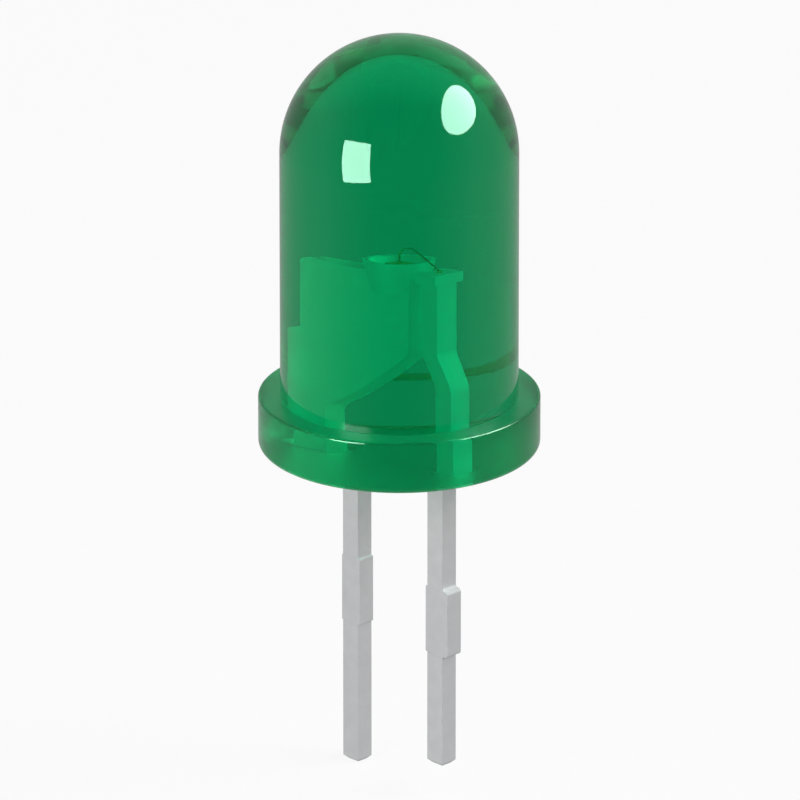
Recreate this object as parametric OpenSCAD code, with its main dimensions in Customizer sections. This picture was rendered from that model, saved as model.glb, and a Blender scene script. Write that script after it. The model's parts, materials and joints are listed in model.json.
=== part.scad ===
// Through-hole light-emitting diode of the round 5 mm kind, with cropped leads.
// The origin is the middle of the flange's underside. +Z runs up the lens axis to the dome.
// X runs along the pair of leads: the cathode with its anvil at -X, the anode with its post at +X.

/* [Lens] */
// Diameter of the barrel and of the half-ball dome on it
body_d = 5.0; // [4.7:0.05:5.3]
// Height of the lens from the underside to the top of the dome
lens_h = 9.0; // [8.4:0.1:9.6]
// Diameter of the flange
flange_d = 5.92; // [5.7:0.02:6.4]
// Thickness of the flange
flange_h = 1.15; // [0.9:0.05:1.5]
// Rounding of the flange's upper edge
flange_top_r = 0.06; // [0.02:0.01:0.12]
// Rounding of the flange's lower edge
flange_bottom_r = 0.16; // [0.04:0.02:0.24]
// How far the epoxy creeps down each lead below the underside
creep_h = 0.24; // [0.1:0.02:0.5]
// Spread of that creep round a lead where it leaves the underside
creep_spread = 0.14; // [0.06:0.02:0.24]
// Film of epoxy left round a lead where the creep ends
creep_film = 0.02; // [0.01:0.005:0.04]

/* [Leads] */
// Distance between the centres of the two leads
lead_pitch = 2.54; // [2.4:0.02:2.7]
// Width of a lead, in the plane of the lead frame
lead_w = 0.45; // [0.36:0.01:0.54]
// Thickness of the lead frame's sheet
sheet_t = 0.4; // [0.3:0.01:0.5]
// Length of the cathode lead below the underside
cathode_l = 7.5; // [6:0.1:26]
// Length of the anode lead below the underside
anode_l = 6.85; // [6:0.05:28]
// Bevel round the cropped end of a lead
tip_bevel = 0.08; // [0.02:0.01:0.14]

/* [Dam bar stubs] */
// Drop from the underside to the stubs that the cropped dam bar leaves
stub_drop = 2.85; // [2:0.05:3.5]
// Height of the stubs
stub_h = 1.48; // [0.8:0.02:1.8]
// Reach of the two stubs that face each other
stub_inner = 0.05; // [0.02:0.01:0.12]
// Reach of the stub on the cathode lead's outer side
stub_cathode = 0.03; // [0.02:0.01:0.2]
// Reach of the stub on the anode lead's outer side
stub_anode = 0.15; // [0.02:0.01:0.2]

/* [Anvil] */
// Height of the reflector cup's rim above the underside
rim_z = 4.45; // [4.2:0.05:4.8]
// Drop from the rim to the anvil's shoulder
shoulder_drop = 0.26; // [0.04:0.02:0.3]
// Height at which the anvil starts to widen out of its lead
anvil_foot_z = 0.95; // [0.6:0.05:1.3]
// Height at which the anvil has its full width
anvil_throat_z = 2.45; // [2.2:0.05:3.2]
// Reach of the anvil past the lens axis, towards the post
anvil_reach = 0.4; // [0.3:0.02:0.46]
// Inset of the anvil's outer edge from the outer edge of its lead
anvil_inset = 0.14; // [0.04:0.02:0.24]
// Height at which that edge starts to step in
anvil_step_z = 2.45; // [1.5:0.05:3]
// Rounding of the anvil's outer upper corner
anvil_corner_r = 0.14; // [0.04:0.02:0.3]
// Rounding of the two bends where the anvil widens
anvil_bend_r = 0.3; // [0.1:0.05:0.6]

/* [Reflector cup] */
// Diameter of the cup's mouth
cup_d = 0.84; // [0.76:0.02:0.92]
// Diameter of the cup's floor
cup_floor_d = 0.56; // [0.5:0.02:0.64]
// Depth of the cup
cup_depth = 0.34; // [0.26:0.02:0.42]
// Wall of the coined head, at the rim and round the floor
rim_wall = 0.08; // [0.05:0.01:0.12]
// Height of the coined head that holds the cup
head_h = 0.7; // [0.55:0.05:0.9]

/* [Post] */
// Height of the post's bonding head above the underside
post_z = 4.3; // [4:0.05:4.6]
// Clear gap between the anvil and the post
post_gap = 0.3; // [0.24:0.02:0.36]
// Width of the post's shank
post_w = 0.38; // [0.32:0.02:0.44]
// Height at which the post leaves the line of its lead
post_foot_z = 1.8; // [1.4:0.05:2.1]
// Height at which the post stands upright again
post_knee_z = 2.5; // [2.3:0.05:2.9]
// Rounding of the post's bends
post_bend_r = 0.4; // [0.1:0.05:0.6]
// Thickness of the coined bonding head, across the sheet
post_head_t = 0.58; // [0.5:0.02:0.66]
// Lip of the bonding head past each side of the shank
post_head_lip = 0.06; // [0.02:0.01:0.08]
// Height of the bonding head
post_head_h = 0.22; // [0.12:0.02:0.32]

/* [Die] */
// Side of the square die
die_w = 0.28; // [0.22:0.01:0.32]
// Height of the die
die_h = 0.24; // [0.16:0.01:0.28]
// Diameter of the contact on top of the die
contact_d = 0.12; // [0.08:0.01:0.16]
// Thickness of that contact
contact_t = 0.01; // [0.005:0.001:0.02]
// Thickness of the silver adhesive under the die
attach_t = 0.03; // [0.02:0.005:0.05]
// Spread of the adhesive past the die's corners
attach_spread = 0.03; // [0.01:0.005:0.04]

/* [Bond wire] */
// Diameter of the gold wire
wire_d = 0.03; // [0.02:0.002:0.04]
// Diameter of the ball bond on the die
ball_d = 0.08; // [0.06:0.005:0.1]
// Height of the ball bond
ball_h = 0.03; // [0.02:0.005:0.05]
// Straight rise of the wire above the ball bond
wire_neck = 0.12; // [0.08:0.01:0.2]
// Radius of the wire's loop
wire_loop_r = 0.2; // [0.14:0.01:0.24]
// Diameter of the stitch bond on the post
stitch_d = 0.1; // [0.07:0.01:0.14]
// Height of the stitch bond
stitch_h = 0.05; // [0.044:0.002:0.07]

/* [Hidden] */
$fn = 96;

// Overrun of every cut past the face that it opens
cut_over = 0.2;

// Flats in the arc of a rounded corner of a stamped outline
corner_flats = 6;

// Share of a small step's reach that rounds each of its two corners
step_round_share = 0.45;

body_r = body_d / 2;
flange_r = flange_d / 2;
dome_z = lens_h - body_r;

cathode_x = -lead_pitch / 2;
anode_x = lead_pitch / 2;
shoulder_z = rim_z - shoulder_drop;
anvil_left = cathode_x - lead_w / 2 + anvil_inset;

cup_r = cup_d / 2;
cup_floor_r = cup_floor_d / 2;
cup_floor_z = rim_z - cup_depth;
head_r = cup_r + rim_wall;
head_foot_r = cup_floor_r + rim_wall;

post_left = anvil_reach + post_gap;
post_right = post_left + post_w;
post_mid = post_left + post_w / 2;

die_z = cup_floor_z + attach_t;
contact_z = die_z + die_h;
ball_z = contact_z + contact_t;
attach_top_r = die_w / sqrt(2);
attach_r = attach_top_r + attach_spread;

// The loop turns about a centre beside the neck, and the wire leaves it on the tangent
// that runs down to the stitch bond. Angles are counted from +X towards +Z.
neck_z = ball_z + ball_h + wire_neck;
stitch_z = post_z + stitch_h / 2;
span_x = post_mid - wire_loop_r;
span_z = stitch_z - neck_z;
span = sqrt(span_x * span_x + span_z * span_z);
run_l = sqrt(span * span - wire_loop_r * wire_loop_r);
leave_angle = atan2(span_z, span_x) + acos(wire_loop_r / span);

// A quarter-round edge: what a sharp corner of the profile loses
module edge_round(r) {
    difference() {
        square(r + cut_over);
        circle(r);
    }
}

// Half section of the flange, with both rims rounded
module flange_section() {
    difference() {
        square([flange_r, flange_h]);
        translate([flange_r - flange_top_r, flange_h - flange_top_r])
            edge_round(flange_top_r);
        translate([flange_r - flange_bottom_r, flange_bottom_r])
            mirror([0, 1]) edge_round(flange_bottom_r);
    }
}

// Half section of the barrel and its dome
module barrel_section() {
    square([body_r, dome_z]);
    translate([0, dome_z]) intersection() {
        circle(body_r);
        square(body_r);
    }
}

// Section of the epoxy that creeps down a lead, for a lead that is w wide in that view
module creep_section(w) {
    polygon([
        [-w / 2 - creep_spread, cut_over],
        [-w / 2 - creep_spread, 0],
        [-w / 2 - creep_film, -creep_h],
        [w / 2 + creep_film, -creep_h],
        [w / 2 + creep_spread, 0],
        [w / 2 + creep_spread, cut_over]
    ]);
}

// The creep round the lead at x, as tapered as its front and side sections
module creep(x) {
    translate([x, 0, 0]) intersection() {
        rotate([90, 0, 0]) linear_extrude(sheet_t + 2 * creep_spread, center = true)
            creep_section(lead_w);
        rotate([90, 0, 90]) linear_extrude(lead_w + 2 * creep_spread, center = true)
            creep_section(sheet_t);
    }
}

// The whole outer form of the cast epoxy
module lens_form() {
    rotate_extrude() flange_section();
    rotate_extrude() barrel_section();
    creep(cathode_x);
    creep(anode_x);
}

// The corners of an outline are [x, z, radius]. A radius of 0 leaves the corner sharp.
// One edge of a lead with its dam bar stub, listed upwards. A reach below zero points to -X.
function stub_edge(x, reach) = let (r = abs(reach) * step_round_share) [
    [x, -stub_drop - stub_h, r],
    [x + reach, -stub_drop - stub_h, r],
    [x + reach, -stub_drop, r],
    [x, -stub_drop, r]
];

function reversed(list) = [for (i = [len(list) - 1:-1:0]) list[i]];

// Front outline of a lead from its bevelled tip up, closed by the corners of its top, listed from +X to -X
function lead_outline(x, length, reach_left, reach_right, top) = concat(
    [[x - lead_w / 2 + tip_bevel, -length, 0], [x + lead_w / 2 - tip_bevel, -length, 0]],
    [[x + lead_w / 2, tip_bevel - length, 0]],
    stub_edge(x + lead_w / 2, reach_right),
    top,
    reversed(stub_edge(x - lead_w / 2, -reach_left)),
    [[x - lead_w / 2, tip_bevel - length, 0]]
);

function place(corner) = [corner[0], corner[1]];
function unit(v) = v / norm(v);

// Points of the arc that rounds one corner, between the corners before and after it
function corner_arc(before, corner, after) = let (
    r = corner[2],
    back = unit(place(before) - place(corner)),
    on = unit(place(after) - place(corner)),
    half = acos(back * on) / 2,
    centre = place(corner) + unit(back + on) * r / sin(half),
    first = place(corner) + back * r / tan(half) - centre,
    last = place(corner) + on * r / tan(half) - centre,
    start = atan2(first[1], first[0]),
    turn = atan2(cross(first, last), first * last)
) [for (i = [0:corner_flats]) let (a = start + turn * i / corner_flats) centre + r * [cos(a), sin(a)]];

// The outline's points, with the corners that have a radius rounded
function rounded(outline) = let (n = len(outline)) [
    for (i = [0:n - 1])
        each outline[i][2] > 0
            ? corner_arc(outline[(i + n - 1) % n], outline[i], outline[(i + 1) % n])
            : [place(outline[i])]
];

// A piece stamped from the sheet, standing in the XZ plane
module stamped(outline) {
    rotate([90, 0, 0]) linear_extrude(sheet_t, center = true) polygon(rounded(outline));
}

// What the front and back edges of a cropped tip lose
module tip_cut(x, length) {
    for (side = [0, 1]) mirror([0, side, 0]) translate([x, 0, -length])
        rotate([90, 0, 90]) linear_extrude(lead_w + cut_over, center = true) polygon([
            [sheet_t / 2 - tip_bevel - cut_over, -cut_over],
            [sheet_t / 2 + cut_over, -cut_over],
            [sheet_t / 2 + cut_over, tip_bevel + cut_over]
        ]);
}

// The coined head of the anvil, solid
module cup_head() {
    rotate_extrude() polygon([
        [0, rim_z - head_h],
        [head_foot_r, rim_z - head_h],
        [head_r, rim_z],
        [0, rim_z]
    ]);
}

// The space that the conical cup takes out of the head
module cup_recess() {
    rotate_extrude() polygon([
        [0, cup_floor_z],
        [cup_floor_r, cup_floor_z],
        [cup_r, rim_z],
        [cup_r, rim_z + cut_over],
        [0, rim_z + cut_over]
    ]);
}

// Cathode lead, anvil and reflector cup, stamped and coined from one sheet
module cathode_solid() {
    step_r = anvil_inset * step_round_share;
    anvil_top = [
        [cathode_x + lead_w / 2, anvil_foot_z, anvil_bend_r],
        [anvil_reach, anvil_throat_z, anvil_bend_r],
        [anvil_reach, shoulder_z, 0],
        [anvil_left, shoulder_z, anvil_corner_r],
        [anvil_left, anvil_step_z + anvil_inset, step_r],
        [cathode_x - lead_w / 2, anvil_step_z, step_r]
    ];
    difference() {
        union() {
            stamped(lead_outline(cathode_x, cathode_l, stub_cathode, stub_inner, anvil_top));
            cup_head();
        }
        cup_recess();
        tip_cut(cathode_x, cathode_l);
    }
}

// Anode lead and post, stamped from the same sheet, with the post's head coined wider
module anode_solid() {
    post_top = [
        [anode_x + lead_w / 2, post_foot_z, post_bend_r],
        [post_right, post_knee_z, post_bend_r],
        [post_right, post_z, 0],
        [post_left, post_z, 0],
        [post_left, post_knee_z, post_bend_r],
        [anode_x - lead_w / 2, post_foot_z, post_bend_r]
    ];
    difference() {
        union() {
            stamped(lead_outline(anode_x, anode_l, stub_inner, stub_anode, post_top));
            translate([post_left - post_head_lip, -post_head_t / 2, post_z - post_head_h])
                cube([post_w + 2 * post_head_lip, post_head_t, post_head_h]);
        }
        tip_cut(anode_x, anode_l);
    }
}

// Pad of silver adhesive on the cup's floor
module attach_solid() {
    translate([0, 0, cup_floor_z]) cylinder(h = attach_t, r1 = attach_r, r2 = attach_top_r);
}

// Square die with a round contact on top
module die_solid() {
    translate([-die_w / 2, -die_w / 2, die_z]) cube([die_w, die_w, die_h]);
    translate([0, 0, contact_z]) cylinder(h = contact_t, d = contact_d);
}

// Ball bond, neck, loop, straight run and stitch bond of the one wire
module wire_solid() {
    translate([0, 0, ball_z]) cylinder(h = ball_h, d = ball_d);
    translate([0, 0, ball_z]) cylinder(h = ball_h + wire_neck, d = wire_d);
    translate([wire_loop_r, 0, neck_z]) rotate([90, 0, 0]) rotate([0, 0, leave_angle]) {
        rotate_extrude(angle = 180 - leave_angle) translate([wire_loop_r, 0]) circle(d = wire_d);
        translate([wire_loop_r, 0, 0]) rotate([90, 0, 0]) cylinder(h = run_l, d = wire_d);
    }
    translate([post_mid, 0, post_z]) cylinder(h = stitch_h, d = stitch_d);
}

module epoxy_lens() {
    color([0.0, 0.53, 0.31, 0.8]) difference() {
        lens_form();
        cathode_solid();
        anode_solid();
        attach_solid();
        die_solid();
        wire_solid();
    }
}

module cathode_lead() { color([0.73, 0.73, 0.74]) cathode_solid(); }
module anode_lead() { color([0.73, 0.73, 0.74]) anode_solid(); }
module die_attach() { color([0.62, 0.62, 0.6]) attach_solid(); }
module led_die() { color([0.75, 0.55, 0.2]) die_solid(); }
module bond_wire() { color([0.9, 0.7, 0.3]) wire_solid(); }

epoxy_lens();
cathode_lead();
anode_lead();
die_attach();
led_die();
bond_wire();
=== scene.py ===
"""A green through-hole light-emitting diode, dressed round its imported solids. Lengths are in metres."""

import json
import math

import bmesh
import bpy
from mathutils import Matrix, Quaternion, Vector


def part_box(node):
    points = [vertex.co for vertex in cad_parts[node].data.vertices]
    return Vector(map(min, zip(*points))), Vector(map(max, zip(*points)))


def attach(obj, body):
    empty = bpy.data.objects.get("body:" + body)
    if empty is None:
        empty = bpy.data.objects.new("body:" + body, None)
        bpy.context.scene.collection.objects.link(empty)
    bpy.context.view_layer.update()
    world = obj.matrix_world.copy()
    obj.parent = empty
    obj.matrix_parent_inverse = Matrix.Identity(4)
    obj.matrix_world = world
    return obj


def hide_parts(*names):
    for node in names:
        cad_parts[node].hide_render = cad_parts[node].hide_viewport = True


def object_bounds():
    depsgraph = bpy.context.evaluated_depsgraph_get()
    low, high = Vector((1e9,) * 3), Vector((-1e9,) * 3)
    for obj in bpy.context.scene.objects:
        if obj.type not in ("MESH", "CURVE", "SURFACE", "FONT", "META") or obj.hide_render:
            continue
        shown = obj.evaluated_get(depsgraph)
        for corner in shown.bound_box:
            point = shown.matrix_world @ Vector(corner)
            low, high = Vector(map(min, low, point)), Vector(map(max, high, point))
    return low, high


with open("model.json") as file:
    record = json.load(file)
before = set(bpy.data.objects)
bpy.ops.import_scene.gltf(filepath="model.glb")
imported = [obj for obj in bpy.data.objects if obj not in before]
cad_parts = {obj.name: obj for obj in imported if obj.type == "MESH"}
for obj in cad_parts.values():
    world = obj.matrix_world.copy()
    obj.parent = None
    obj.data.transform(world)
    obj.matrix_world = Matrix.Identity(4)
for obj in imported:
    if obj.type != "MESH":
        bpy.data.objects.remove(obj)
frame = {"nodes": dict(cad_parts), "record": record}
cad_low, cad_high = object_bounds()

MM = 0.001

# What the frame gives: the lens, its shoulder and barrel, and the lowest lead tip
lens_low, lens_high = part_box("epoxy_lens")
mounts = {m["name"]: m for m in frame["record"]["mounts"]}
BARREL_R = mounts["lens_barrel"]["dims"]["r_mm"] * MM
SHOULDER_Z = mounts["flange_shoulder"]["pos_m"][2]
DOME_TOP = lens_high.z
DOME_Z = DOME_TOP - BARREL_R
FLANGE_R = lens_high.x
CREEP_Z = lens_low.z
LEAD_TIP_Z = cad_low.z

# The lens's small forms, as on the solid
EDGE_TOP_R = 0.06 * MM
EDGE_BOTTOM_R = 0.16 * MM
LEAD_PITCH = 2.54 * MM
LEAD_W = 0.45 * MM
SHEET_T = 0.4 * MM
CREEP_SPREAD = 0.14 * MM
CREEP_FILM = 0.02 * MM

# How finely the lens is divided, and how fast its creep thins down a lead
LENS_SEGMENTS = 192
DOME_STEPS = 64
EDGE_TOP_STEPS = 8
EDGE_BOTTOM_STEPS = 10
CREEP_STEPS = 8
CREEP_CORNER_STEPS = 6
CREEP_POWER = 1.5

# Edges: which ones count as sharp, the leads' bevel, and how near points are welded for it
SHARP_ANGLE = math.radians(35)
LEAD_BEVEL = 0.012 * MM
WELD_REACH = 0.001 * MM

# The photograph's view: the pixel of the frame's origin, the scale and the angles
PHOTO_SIZE = 800
ORIGIN_PX = (399.3, 444.0)
PX_PER_MM = 47.66
VIEW_AZIMUTH = math.radians(45.6)
VIEW_ELEVATION = math.radians(21.0)
CAMERA_DISTANCE = 0.30
SENSOR_WIDTH_MM = 36.0

# The part of a noise's values that most of its grains lie in
GRAIN_SPAN = (0.3, 0.7)

# Optics of the tinted epoxy: index, tint, and what each metre takes out of each colour
EPOXY_IOR = 1.5
EPOXY_TINT = (0.0, 0.54, 0.2, 1.0)
EPOXY_GLOSS_TINT = (0.55, 1.0, 0.8, 1.0)
EPOXY_CLEAR = 0.93
EPOXY_DENSITY = 100.0
EPOXY_PASSES = (0.0, 0.6, 0.3, 1.0)

# The epoxy's skin: polished, but duller on the flange's two faces, which end over a short height
POLISH_ROUGHNESS = (0.015, 0.05)
SHOULDER_ROUGHNESS = 0.3
UNDERSIDE_ROUGHNESS = 0.4
FACE_SPAN = (0.01 * MM, 0.03 * MM)
POLISH_GRAIN = 0.5 * MM
WAVE_GRAIN = 1.2 * MM
WAVE_DEPTH = 0.002 * MM

# The lead frame: tin outside and silver inside, on rolled faces and on sheared or torn edges
TIN_TONES = ((0.82, 0.825, 0.835, 1), (0.93, 0.935, 0.945, 1))
TIN_ROUGHNESS = (0.55, 0.7)
SILVER_TONE = (0.95, 0.94, 0.92, 1)
SILVER_ROUGHNESS = 0.4
SILVER_EDGE_METALLIC = 0.15
SILVER_FACE_METALLIC = 0.5
SHEARED_ROUGHNESS = 0.55
TORN_ROUGHNESS = 0.9
TORN_SPAN = (0.1, 0.4)
STREAK_GRAIN = 0.02 * MM
STREAK_STRETCH = 20.0
STREAK_DEPTH = 0.001 * MM
CLOUD_GRAIN = 0.3 * MM

# The depth of a fine grain's relief as a share of its width
GRAIN_DEPTH_SHARE = 1 / 8

# Light levels: what lights things, and what glass and metal see round them. The camera sees white.
LIGHT_LEVEL = 0.45
SEEN_LEVEL = 0.45
SEEN_OVERHEAD = 0.15
# SEEN_POOL is a painted pool of light: the floor's glow that glass sees near the part
SEEN_POOL = 0.8
# SEEN_FRONT_SHARE dims what glass and metal see on the side the view is taken from: as light in the world,
# and as painted shade on the floor's glow
SEEN_FRONT_SHARE = 0.2
OVERHEAD_SPAN = (0.45, 0.9)
FRONT_SPAN = (0.2, 0.8)

# The floor: how much of it the camera sees as glow, and a painted pool of light round the part, where the
# glow that glass sees is brighter
FLOOR_HALF = 3.0
FLOOR_TONE = (0.8, 0.8, 0.8, 1)
FLOOR_ROUGHNESS = 0.9
FLOOR_GLOW = 0.88
POOL_SPAN = (8 * MM, 18 * MM)

# Each softbox is a lamp with a brighter card a little farther off, which only the lens's gloss shows.
# A form is its shape, the pixel of its highlight, its distance, and its width, height and lean in degrees.
LAMP_RADIANCE = 5.0
CARD_RADIANCE = 14.0
CARD_DISTANCE_SHARE = 1.02
SOFTBOX_FORMS = {
    "left_softbox": ("RECTANGLE", (357, 165), 0.05, 28, 36, 73),
    "right_softbox": ("ELLIPSE", (458, 113), 0.5, 31, 51, 22),
}


def link(obj):
    bpy.context.scene.collection.objects.link(obj)
    return obj


def view_axes(azimuth, elevation):
    """Right, up and towards-the-camera directions of a view."""
    right = Vector((math.cos(azimuth), math.sin(azimuth), 0))
    back = Vector((
        math.sin(azimuth) * math.cos(elevation),
        -math.cos(azimuth) * math.cos(elevation),
        math.sin(elevation),
    ))
    return right, back.cross(right), back


RIGHT, UP, BACK = view_axes(VIEW_AZIMUTH, VIEW_ELEVATION)


def make_camera():
    centre_px = PHOTO_SIZE / 2
    target = RIGHT * (centre_px - ORIGIN_PX[0]) + UP * (ORIGIN_PX[1] - centre_px)
    target *= MM / PX_PER_MM
    data = bpy.data.cameras.new("camera")
    data.sensor_width = SENSOR_WIDTH_MM
    data.lens = SENSOR_WIDTH_MM * CAMERA_DISTANCE / (PHOTO_SIZE / PX_PER_MM * MM)
    data.clip_start = 0.01
    data.clip_end = 10.0
    camera = link(bpy.data.objects.new("camera", data))
    camera.location = target + BACK * CAMERA_DISTANCE
    camera.rotation_mode = "QUATERNION"
    camera.rotation_quaternion = (-BACK).to_track_quat("-Z", "Y")
    bpy.context.scene.camera = camera


def arc(centre, radius, start, end, steps):
    """Points of an arc, angles in degrees from the first axis."""
    angles = [math.radians(start + (end - start) * i / steps) for i in range(steps + 1)]
    return [(centre[0] + radius * math.cos(a), centre[1] + radius * math.sin(a)) for a in angles]


def rounded_rectangle(half_x, half_y, radius):
    """Outline with round corners, listed anticlockwise."""
    x, y = half_x - radius, half_y - radius
    corners = ((x, y, 0), (-x, y, 90), (-x, -y, 180), (x, -y, 270))
    return [
        point for cx, cy, turn in corners
        for point in arc((cx, cy), radius, turn, turn + 90, CREEP_CORNER_STEPS)
    ]


def add_ring(bm, points, z):
    return [bm.verts.new((x, y, z)) for x, y in points]


def bridge(bm, low, high):
    """Faces between two rings of as many points, or from a ring to one point."""
    for i in range(len(low)):
        j = (i + 1) % len(low)
        if len(high) == 1:
            bm.faces.new((low[i], low[j], high[0]))
        else:
            bm.faces.new((low[i], low[j], high[j], high[i]))


def ring_edges(bm, ring):
    return [bm.edges.get((v, ring[(i + 1) % len(ring)])) for i, v in enumerate(ring)]


def finish_mesh(bm, name):
    bmesh.ops.recalc_face_normals(bm, faces=bm.faces)
    mesh = bpy.data.meshes.new(name)
    bm.to_mesh(mesh)
    bm.free()
    mesh.polygons.foreach_set("use_smooth", [True] * len(mesh.polygons))
    mesh.set_sharp_from_angle(angle=SHARP_ANGLE)
    return link(bpy.data.objects.new(name, mesh))


def add_creep(bm, x):
    """The epoxy that creeps down the lead at x, thinning in a hollow curve. Returns its upper ring."""
    rings = []
    for step in range(CREEP_STEPS + 1):
        down = step / CREEP_STEPS
        spread = CREEP_FILM + (CREEP_SPREAD - CREEP_FILM) * (1 - down) ** CREEP_POWER
        outline = rounded_rectangle(LEAD_W / 2 + spread, SHEET_T / 2 + spread, spread + CREEP_FILM)
        rings.append(add_ring(bm, [(x + px, py) for px, py in outline], CREEP_Z * down))
    for upper, lower in zip(rings, rings[1:]):
        bridge(bm, upper, lower)
    bm.faces.new(rings[-1])
    return rings[0]


def make_lens():
    profile = arc((FLANGE_R - EDGE_BOTTOM_R, EDGE_BOTTOM_R), EDGE_BOTTOM_R, -90, 0, EDGE_BOTTOM_STEPS)
    profile += arc((FLANGE_R - EDGE_TOP_R, SHOULDER_Z - EDGE_TOP_R), EDGE_TOP_R, 0, 90, EDGE_TOP_STEPS)
    profile += [(BARREL_R, SHOULDER_Z)]
    profile += arc((0, DOME_Z), BARREL_R, 0, 90, DOME_STEPS)[:-1]
    bm = bmesh.new()
    rings = [add_ring(bm, arc((0, 0), r, 0, 360, LENS_SEGMENTS)[:-1], z) for r, z in profile]
    rings.append([bm.verts.new((0, 0, DOME_TOP))])
    for low, high in zip(rings, rings[1:]):
        bridge(bm, low, high)
    underside = ring_edges(bm, rings[0])
    for x in (-LEAD_PITCH / 2, LEAD_PITCH / 2):
        underside += ring_edges(bm, add_creep(bm, x))
    bmesh.ops.triangle_fill(bm, use_beauty=True, use_dissolve=False, edges=underside)
    lens = finish_mesh(bm, "lens")
    lens.data.materials.append(epoxy_material())
    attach(lens, "root")
    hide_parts("epoxy_lens")
    return lens


def new_material(name):
    material = bpy.data.materials.new(name)
    material.use_nodes = True
    tree = material.node_tree
    return material, tree, tree.nodes["Principled BSDF"]


def set_inputs(tree, node, inputs):
    for key, value in inputs.items():
        if isinstance(value, bpy.types.NodeSocket):
            tree.links.new(value, node.inputs[key])
        else:
            node.inputs[key].default_value = value


def add_node(tree, kind, inputs=None, **settings):
    """A shader node with its settings, its inputs set to values or linked from other sockets."""
    node = tree.nodes.new("ShaderNode" + kind)
    for name, value in settings.items():
        setattr(node, name, value)
    set_inputs(tree, node, inputs or {})
    return node


def noise(tree, grain, detail=3.0, stretch=1.0):
    """Noise whose grains are about as wide as grain, and stretch times as long along Z."""
    place = add_node(tree, "TexCoord").outputs["Object"]
    scale = Vector((1 / grain, 1 / grain, 1 / (grain * stretch)))
    scaled = add_node(tree, "Mapping", {"Vector": place, "Scale": scale}).outputs["Vector"]
    return add_node(tree, "TexNoise", {"Vector": scaled, "Scale": 1.0, "Detail": detail}).outputs["Fac"]


def ramp(tree, value, given, wanted):
    """A value between the two given numbers, moved to between the two wanted ones and held there."""
    return add_node(tree, "MapRange", {
        "Value": value,
        "From Min": given[0], "From Max": given[1],
        "To Min": wanted[0], "To Max": wanted[1],
    }).outputs["Result"]


def blend(tree, share, first, second):
    """The first number where the share is 0, and the second where it is 1."""
    return ramp(tree, share, (0.0, 1.0), (first, second))


def size_of(tree, value):
    return add_node(tree, "Math", {0: value}, operation="ABSOLUTE").outputs["Value"]


def larger(tree, first, second):
    return add_node(tree, "Math", {0: first, 1: second}, operation="MAXIMUM").outputs["Value"]


def product(tree, first, second):
    return add_node(tree, "Math", {0: first, 1: second}, operation="MULTIPLY").outputs["Value"]


def mix_colours(tree, share, first, second):
    """The Mix node holds its number and vector inputs before the two colours, so they go by place."""
    node = add_node(tree, "Mix", {0: share, 6: first, 7: second}, data_type="RGBA")
    return node.outputs[2]


def bump(tree, height, depth):
    return add_node(tree, "Bump", {"Height": height, "Distance": depth}).outputs["Normal"]


def epoxy_material():
    """Cast tinted epoxy: glossy, faintly wavy, a little cloudy, and greener the deeper one looks."""
    material, tree, shader = new_material("green_epoxy")
    place = add_node(tree, "TexCoord").outputs["Object"]
    height = add_node(tree, "SeparateXYZ", {"Vector": place}).outputs["Z"]
    polish = ramp(tree, noise(tree, POLISH_GRAIN), GRAIN_SPAN, POLISH_ROUGHNESS)
    above = add_node(tree, "Math", {0: height, 1: SHOULDER_Z}, operation="SUBTRACT").outputs["Value"]
    shoulder = ramp(tree, size_of(tree, above), FACE_SPAN, (SHOULDER_ROUGHNESS, polish))
    set_inputs(tree, shader, {
        "Base Color": EPOXY_TINT,
        "Specular Tint": EPOXY_GLOSS_TINT,
        "Transmission Weight": EPOXY_CLEAR,
        "IOR": EPOXY_IOR,
        "Roughness": ramp(tree, height, FACE_SPAN, (UNDERSIDE_ROUGHNESS, shoulder)),
        "Normal": bump(tree, noise(tree, WAVE_GRAIN, detail=1.0), WAVE_DEPTH),
    })
    absorb = add_node(tree, "VolumeAbsorption", {"Color": EPOXY_PASSES, "Density": EPOXY_DENSITY})
    tree.links.new(absorb.outputs["Volume"], tree.nodes["Material Output"].inputs["Volume"])
    return material


def lead_material():
    """Sheet with silver plate inside the lens and tin on the leads, with rolling streaks along them."""
    material, tree, shader = new_material("tinned_lead")
    streaks = noise(tree, STREAK_GRAIN, stretch=STREAK_STRETCH)
    coords = add_node(tree, "TexCoord").outputs
    height = add_node(tree, "SeparateXYZ", {"Vector": coords["Object"]}).outputs["Z"]
    facing = add_node(tree, "SeparateXYZ", {"Vector": coords["Normal"]}).outputs
    inside = ramp(tree, height, (CREEP_Z, 0.0), (0.0, 1.0))
    rolled = size_of(tree, facing["Y"])
    tin = mix_colours(tree, noise(tree, CLOUD_GRAIN), *TIN_TONES)
    torn = ramp(tree, size_of(tree, facing["Z"]), TORN_SPAN, (SHEARED_ROUGHNESS, TORN_ROUGHNESS))
    edge = blend(tree, inside, torn, SHEARED_ROUGHNESS)
    face = blend(tree, inside, ramp(tree, streaks, GRAIN_SPAN, TIN_ROUGHNESS), SILVER_ROUGHNESS)
    silver_metallic = blend(tree, rolled, SILVER_EDGE_METALLIC, SILVER_FACE_METALLIC)
    set_inputs(tree, shader, {
        "Base Color": mix_colours(tree, inside, tin, SILVER_TONE),
        "Metallic": blend(tree, inside, 1.0, silver_metallic),
        "Roughness": blend(tree, rolled, edge, face),
        "Normal": bump(tree, streaks, STREAK_DEPTH),
    })
    return material


def grainy_material(name, metallic, dark, light, grain, roughness):
    """Two tones of one colour in fine grains, which also roughen it."""
    material, tree, shader = new_material(name)
    grains = noise(tree, grain)
    set_inputs(tree, shader, {
        "Base Color": mix_colours(tree, grains, (*dark, 1), (*light, 1)),
        "Metallic": metallic,
        "Roughness": ramp(tree, grains, GRAIN_SPAN, roughness),
        "Normal": bump(tree, grains, grain * GRAIN_DEPTH_SHARE),
    })
    return material


def dress(node, material):
    obj = frame["nodes"][node]
    obj.data.materials.clear()
    obj.data.materials.append(material)
    return obj


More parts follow.
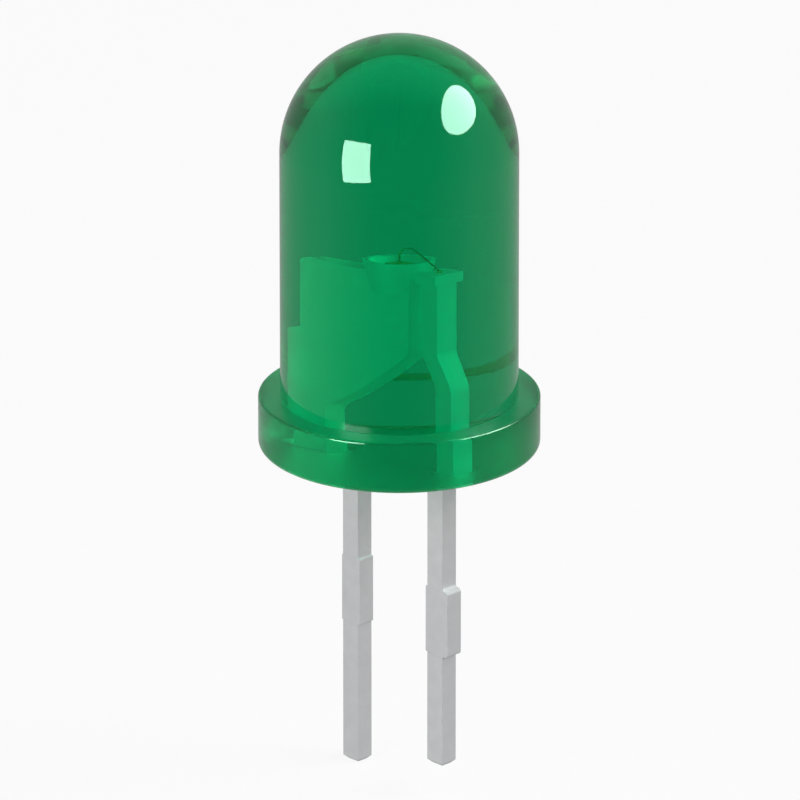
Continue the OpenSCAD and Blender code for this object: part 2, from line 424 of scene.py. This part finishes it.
def bevel_edges(obj):
    weld = obj.modifiers.new("weld", "WELD")
    weld.merge_threshold = WELD_REACH
    edge = obj.modifiers.new("edges", "BEVEL")
    edge.width = LEAD_BEVEL
    edge.segments = 2
    edge.limit_method = "ANGLE"
    edge.angle_limit = SHARP_ANGLE


def seen_by(tree, camera, gloss, glass):
    """A number for the camera's rays, one for those off gloss, one for those through glass, or else 0."""
    path = add_node(tree, "LightPath").outputs
    from_gloss = product(tree, path["Is Glossy Ray"], gloss)
    from_glass = product(tree, path["Is Transmission Ray"], glass)
    return larger(tree, product(tree, path["Is Camera Ray"], camera), larger(tree, from_gloss, from_glass))


def dim_in_front(tree, direction, level):
    """A level that falls off in the directions near the photograph's side of the room."""
    facing = add_node(tree, "VectorMath", {0: direction, 1: BACK}, operation="DOT_PRODUCT")
    share = ramp(tree, facing.outputs["Value"], FRONT_SPAN, (1.0, SEEN_FRONT_SHARE))
    return product(tree, share, level)


def make_world():
    world = bpy.data.worlds.new("surroundings")
    bpy.context.scene.world = world
    world.use_nodes = True
    tree = world.node_tree
    direction = add_node(tree, "TexCoord").outputs["Generated"]
    rise = add_node(tree, "SeparateXYZ", {"Vector": direction}).outputs["Z"]
    surround = ramp(tree, rise, OVERHEAD_SPAN, (SEEN_LEVEL, SEEN_OVERHEAD))
    looked_at = seen_by(tree, 1.0, 1.0, 1.0)
    level = seen_by(tree, 1.0, dim_in_front(tree, direction, surround), surround)
    set_inputs(tree, tree.nodes["Background"], {
        "Color": (1, 1, 1, 1),
        "Strength": blend(tree, looked_at, LIGHT_LEVEL, level),
    })


def make_floor():
    bm = bmesh.new()
    half = FLOOR_HALF
    bm.faces.new(add_ring(bm, ((-half, -half), (half, -half), (half, half), (-half, half)), LEAD_TIP_Z))
    floor = finish_mesh(bm, "floor")
    material, tree, shader = new_material("floor")
    set_inputs(tree, shader, {"Base Color": FLOOR_TONE, "Roughness": FLOOR_ROUGHNESS})
    place = add_node(tree, "TexCoord").outputs["Object"]
    away = add_node(tree, "VectorMath", {0: place}, operation="LENGTH").outputs["Value"]
    # Painted pool of light: through glass, the floor glows brighter near the part
    pool = ramp(tree, away, POOL_SPAN, (SEEN_POOL, SEEN_LEVEL))
    direction = add_node(tree, "VectorMath", {0: place}, operation="NORMALIZE").outputs["Vector"]
    # Painted shade: metal and glass see the floor's glow dimmer on the side the view is taken from
    mirrored = dim_in_front(tree, direction, SEEN_LEVEL)
    glow = add_node(tree, "Emission", {"Strength": seen_by(tree, 1.0, mirrored, pool)})
    mix = add_node(tree, "MixShader", {
        0: seen_by(tree, FLOOR_GLOW, 1.0, 1.0),
        1: shader.outputs["BSDF"],
        2: glow.outputs["Emission"],
    })
    tree.links.new(mix.outputs["Shader"], tree.nodes["Material Output"].inputs["Surface"])
    floor.data.materials.append(material)


def lamp_direction(spot_px):
    """Where a lamp stands so that the dome mirrors it at a pixel of the photograph."""
    reach = BARREL_R / MM * PX_PER_MM
    dome_centre_y = ORIGIN_PX[1] - DOME_Z / MM * math.cos(VIEW_ELEVATION) * PX_PER_MM
    across = (spot_px[0] - ORIGIN_PX[0]) / reach
    upward = (dome_centre_y - spot_px[1]) / reach
    facing = math.sqrt(1 - across * across - upward * upward)
    normal = RIGHT * across + UP * upward + BACK * facing
    return normal * (2 * facing) - BACK


def make_lamp(name, radiance, shape, spot_px, distance, width_deg, height_deg, lean_deg):
    """An area lamp whose height leans from the way that leads off from the camera's direction."""
    direction = lamp_direction(spot_px)
    data = bpy.data.lights.new(name, "AREA")
    data.shape = shape
    data.size = 2 * distance * math.tan(math.radians(width_deg / 2))
    data.size_y = 2 * distance * math.tan(math.radians(height_deg / 2))
    area = data.size * data.size_y * (math.pi / 4 if shape == "ELLIPSE" else 1)
    data.energy = radiance * math.pi * area
    lamp = link(bpy.data.objects.new(name, data))
    side = BACK.cross(direction).normalized()
    height = Quaternion(direction, math.radians(lean_deg)) @ side.cross(direction)
    lamp.matrix_world = Matrix.LocRotScale(
        Vector((0, 0, DOME_Z)) + direction * distance,
        Matrix((height.cross(direction), height, direction)).transposed(),
        None,
    )
    lamp.visible_camera = False
    return lamp


def make_softbox(lens, name, shape, spot_px, distance, *angles):
    """A lamp at a plain level, and a card just behind it that nothing but the lens's gloss shows."""
    make_lamp(name, LAMP_RADIANCE, shape, spot_px, distance, *angles)
    card_distance = distance * CARD_DISTANCE_SHARE
    card = make_lamp(name + "_card", CARD_RADIANCE, shape, spot_px, card_distance, *angles)
    card.visible_diffuse = card.visible_transmission = card.visible_volume_scatter = False
    shown_in = bpy.data.collections.new(name + "_shown_in")
    shown_in.objects.link(lens)
    card.light_linking.receiver_collection = shown_in


make_camera()
make_world()
make_floor()
lens = make_lens()
for softbox, form in SOFTBOX_FORMS.items():
    make_softbox(lens, softbox, *form)

lead_metal = lead_material()
for lead in ("cathode_lead", "anode_lead"):
    bevel_edges(dress(lead, lead_metal))
dress("die_attach", grainy_material(
    "silver_adhesive", 0.5, (0.5, 0.5, 0.49), (0.75, 0.75, 0.73), 0.01 * MM, (0.4, 0.7),
))
dress("led_die", grainy_material(
    "semiconductor", 0.1, (0.75, 0.5, 0.14), (0.95, 0.68, 0.26), 0.02 * MM, (0.25, 0.4),
))
dress("bond_wire", grainy_material(
    "gold_wire", 1.0, (0.9, 0.62, 0.22), (1.0, 0.76, 0.34), 0.01 * MM, (0.15, 0.25),
))

bpy.context.scene.view_settings.view_transform = "Standard"
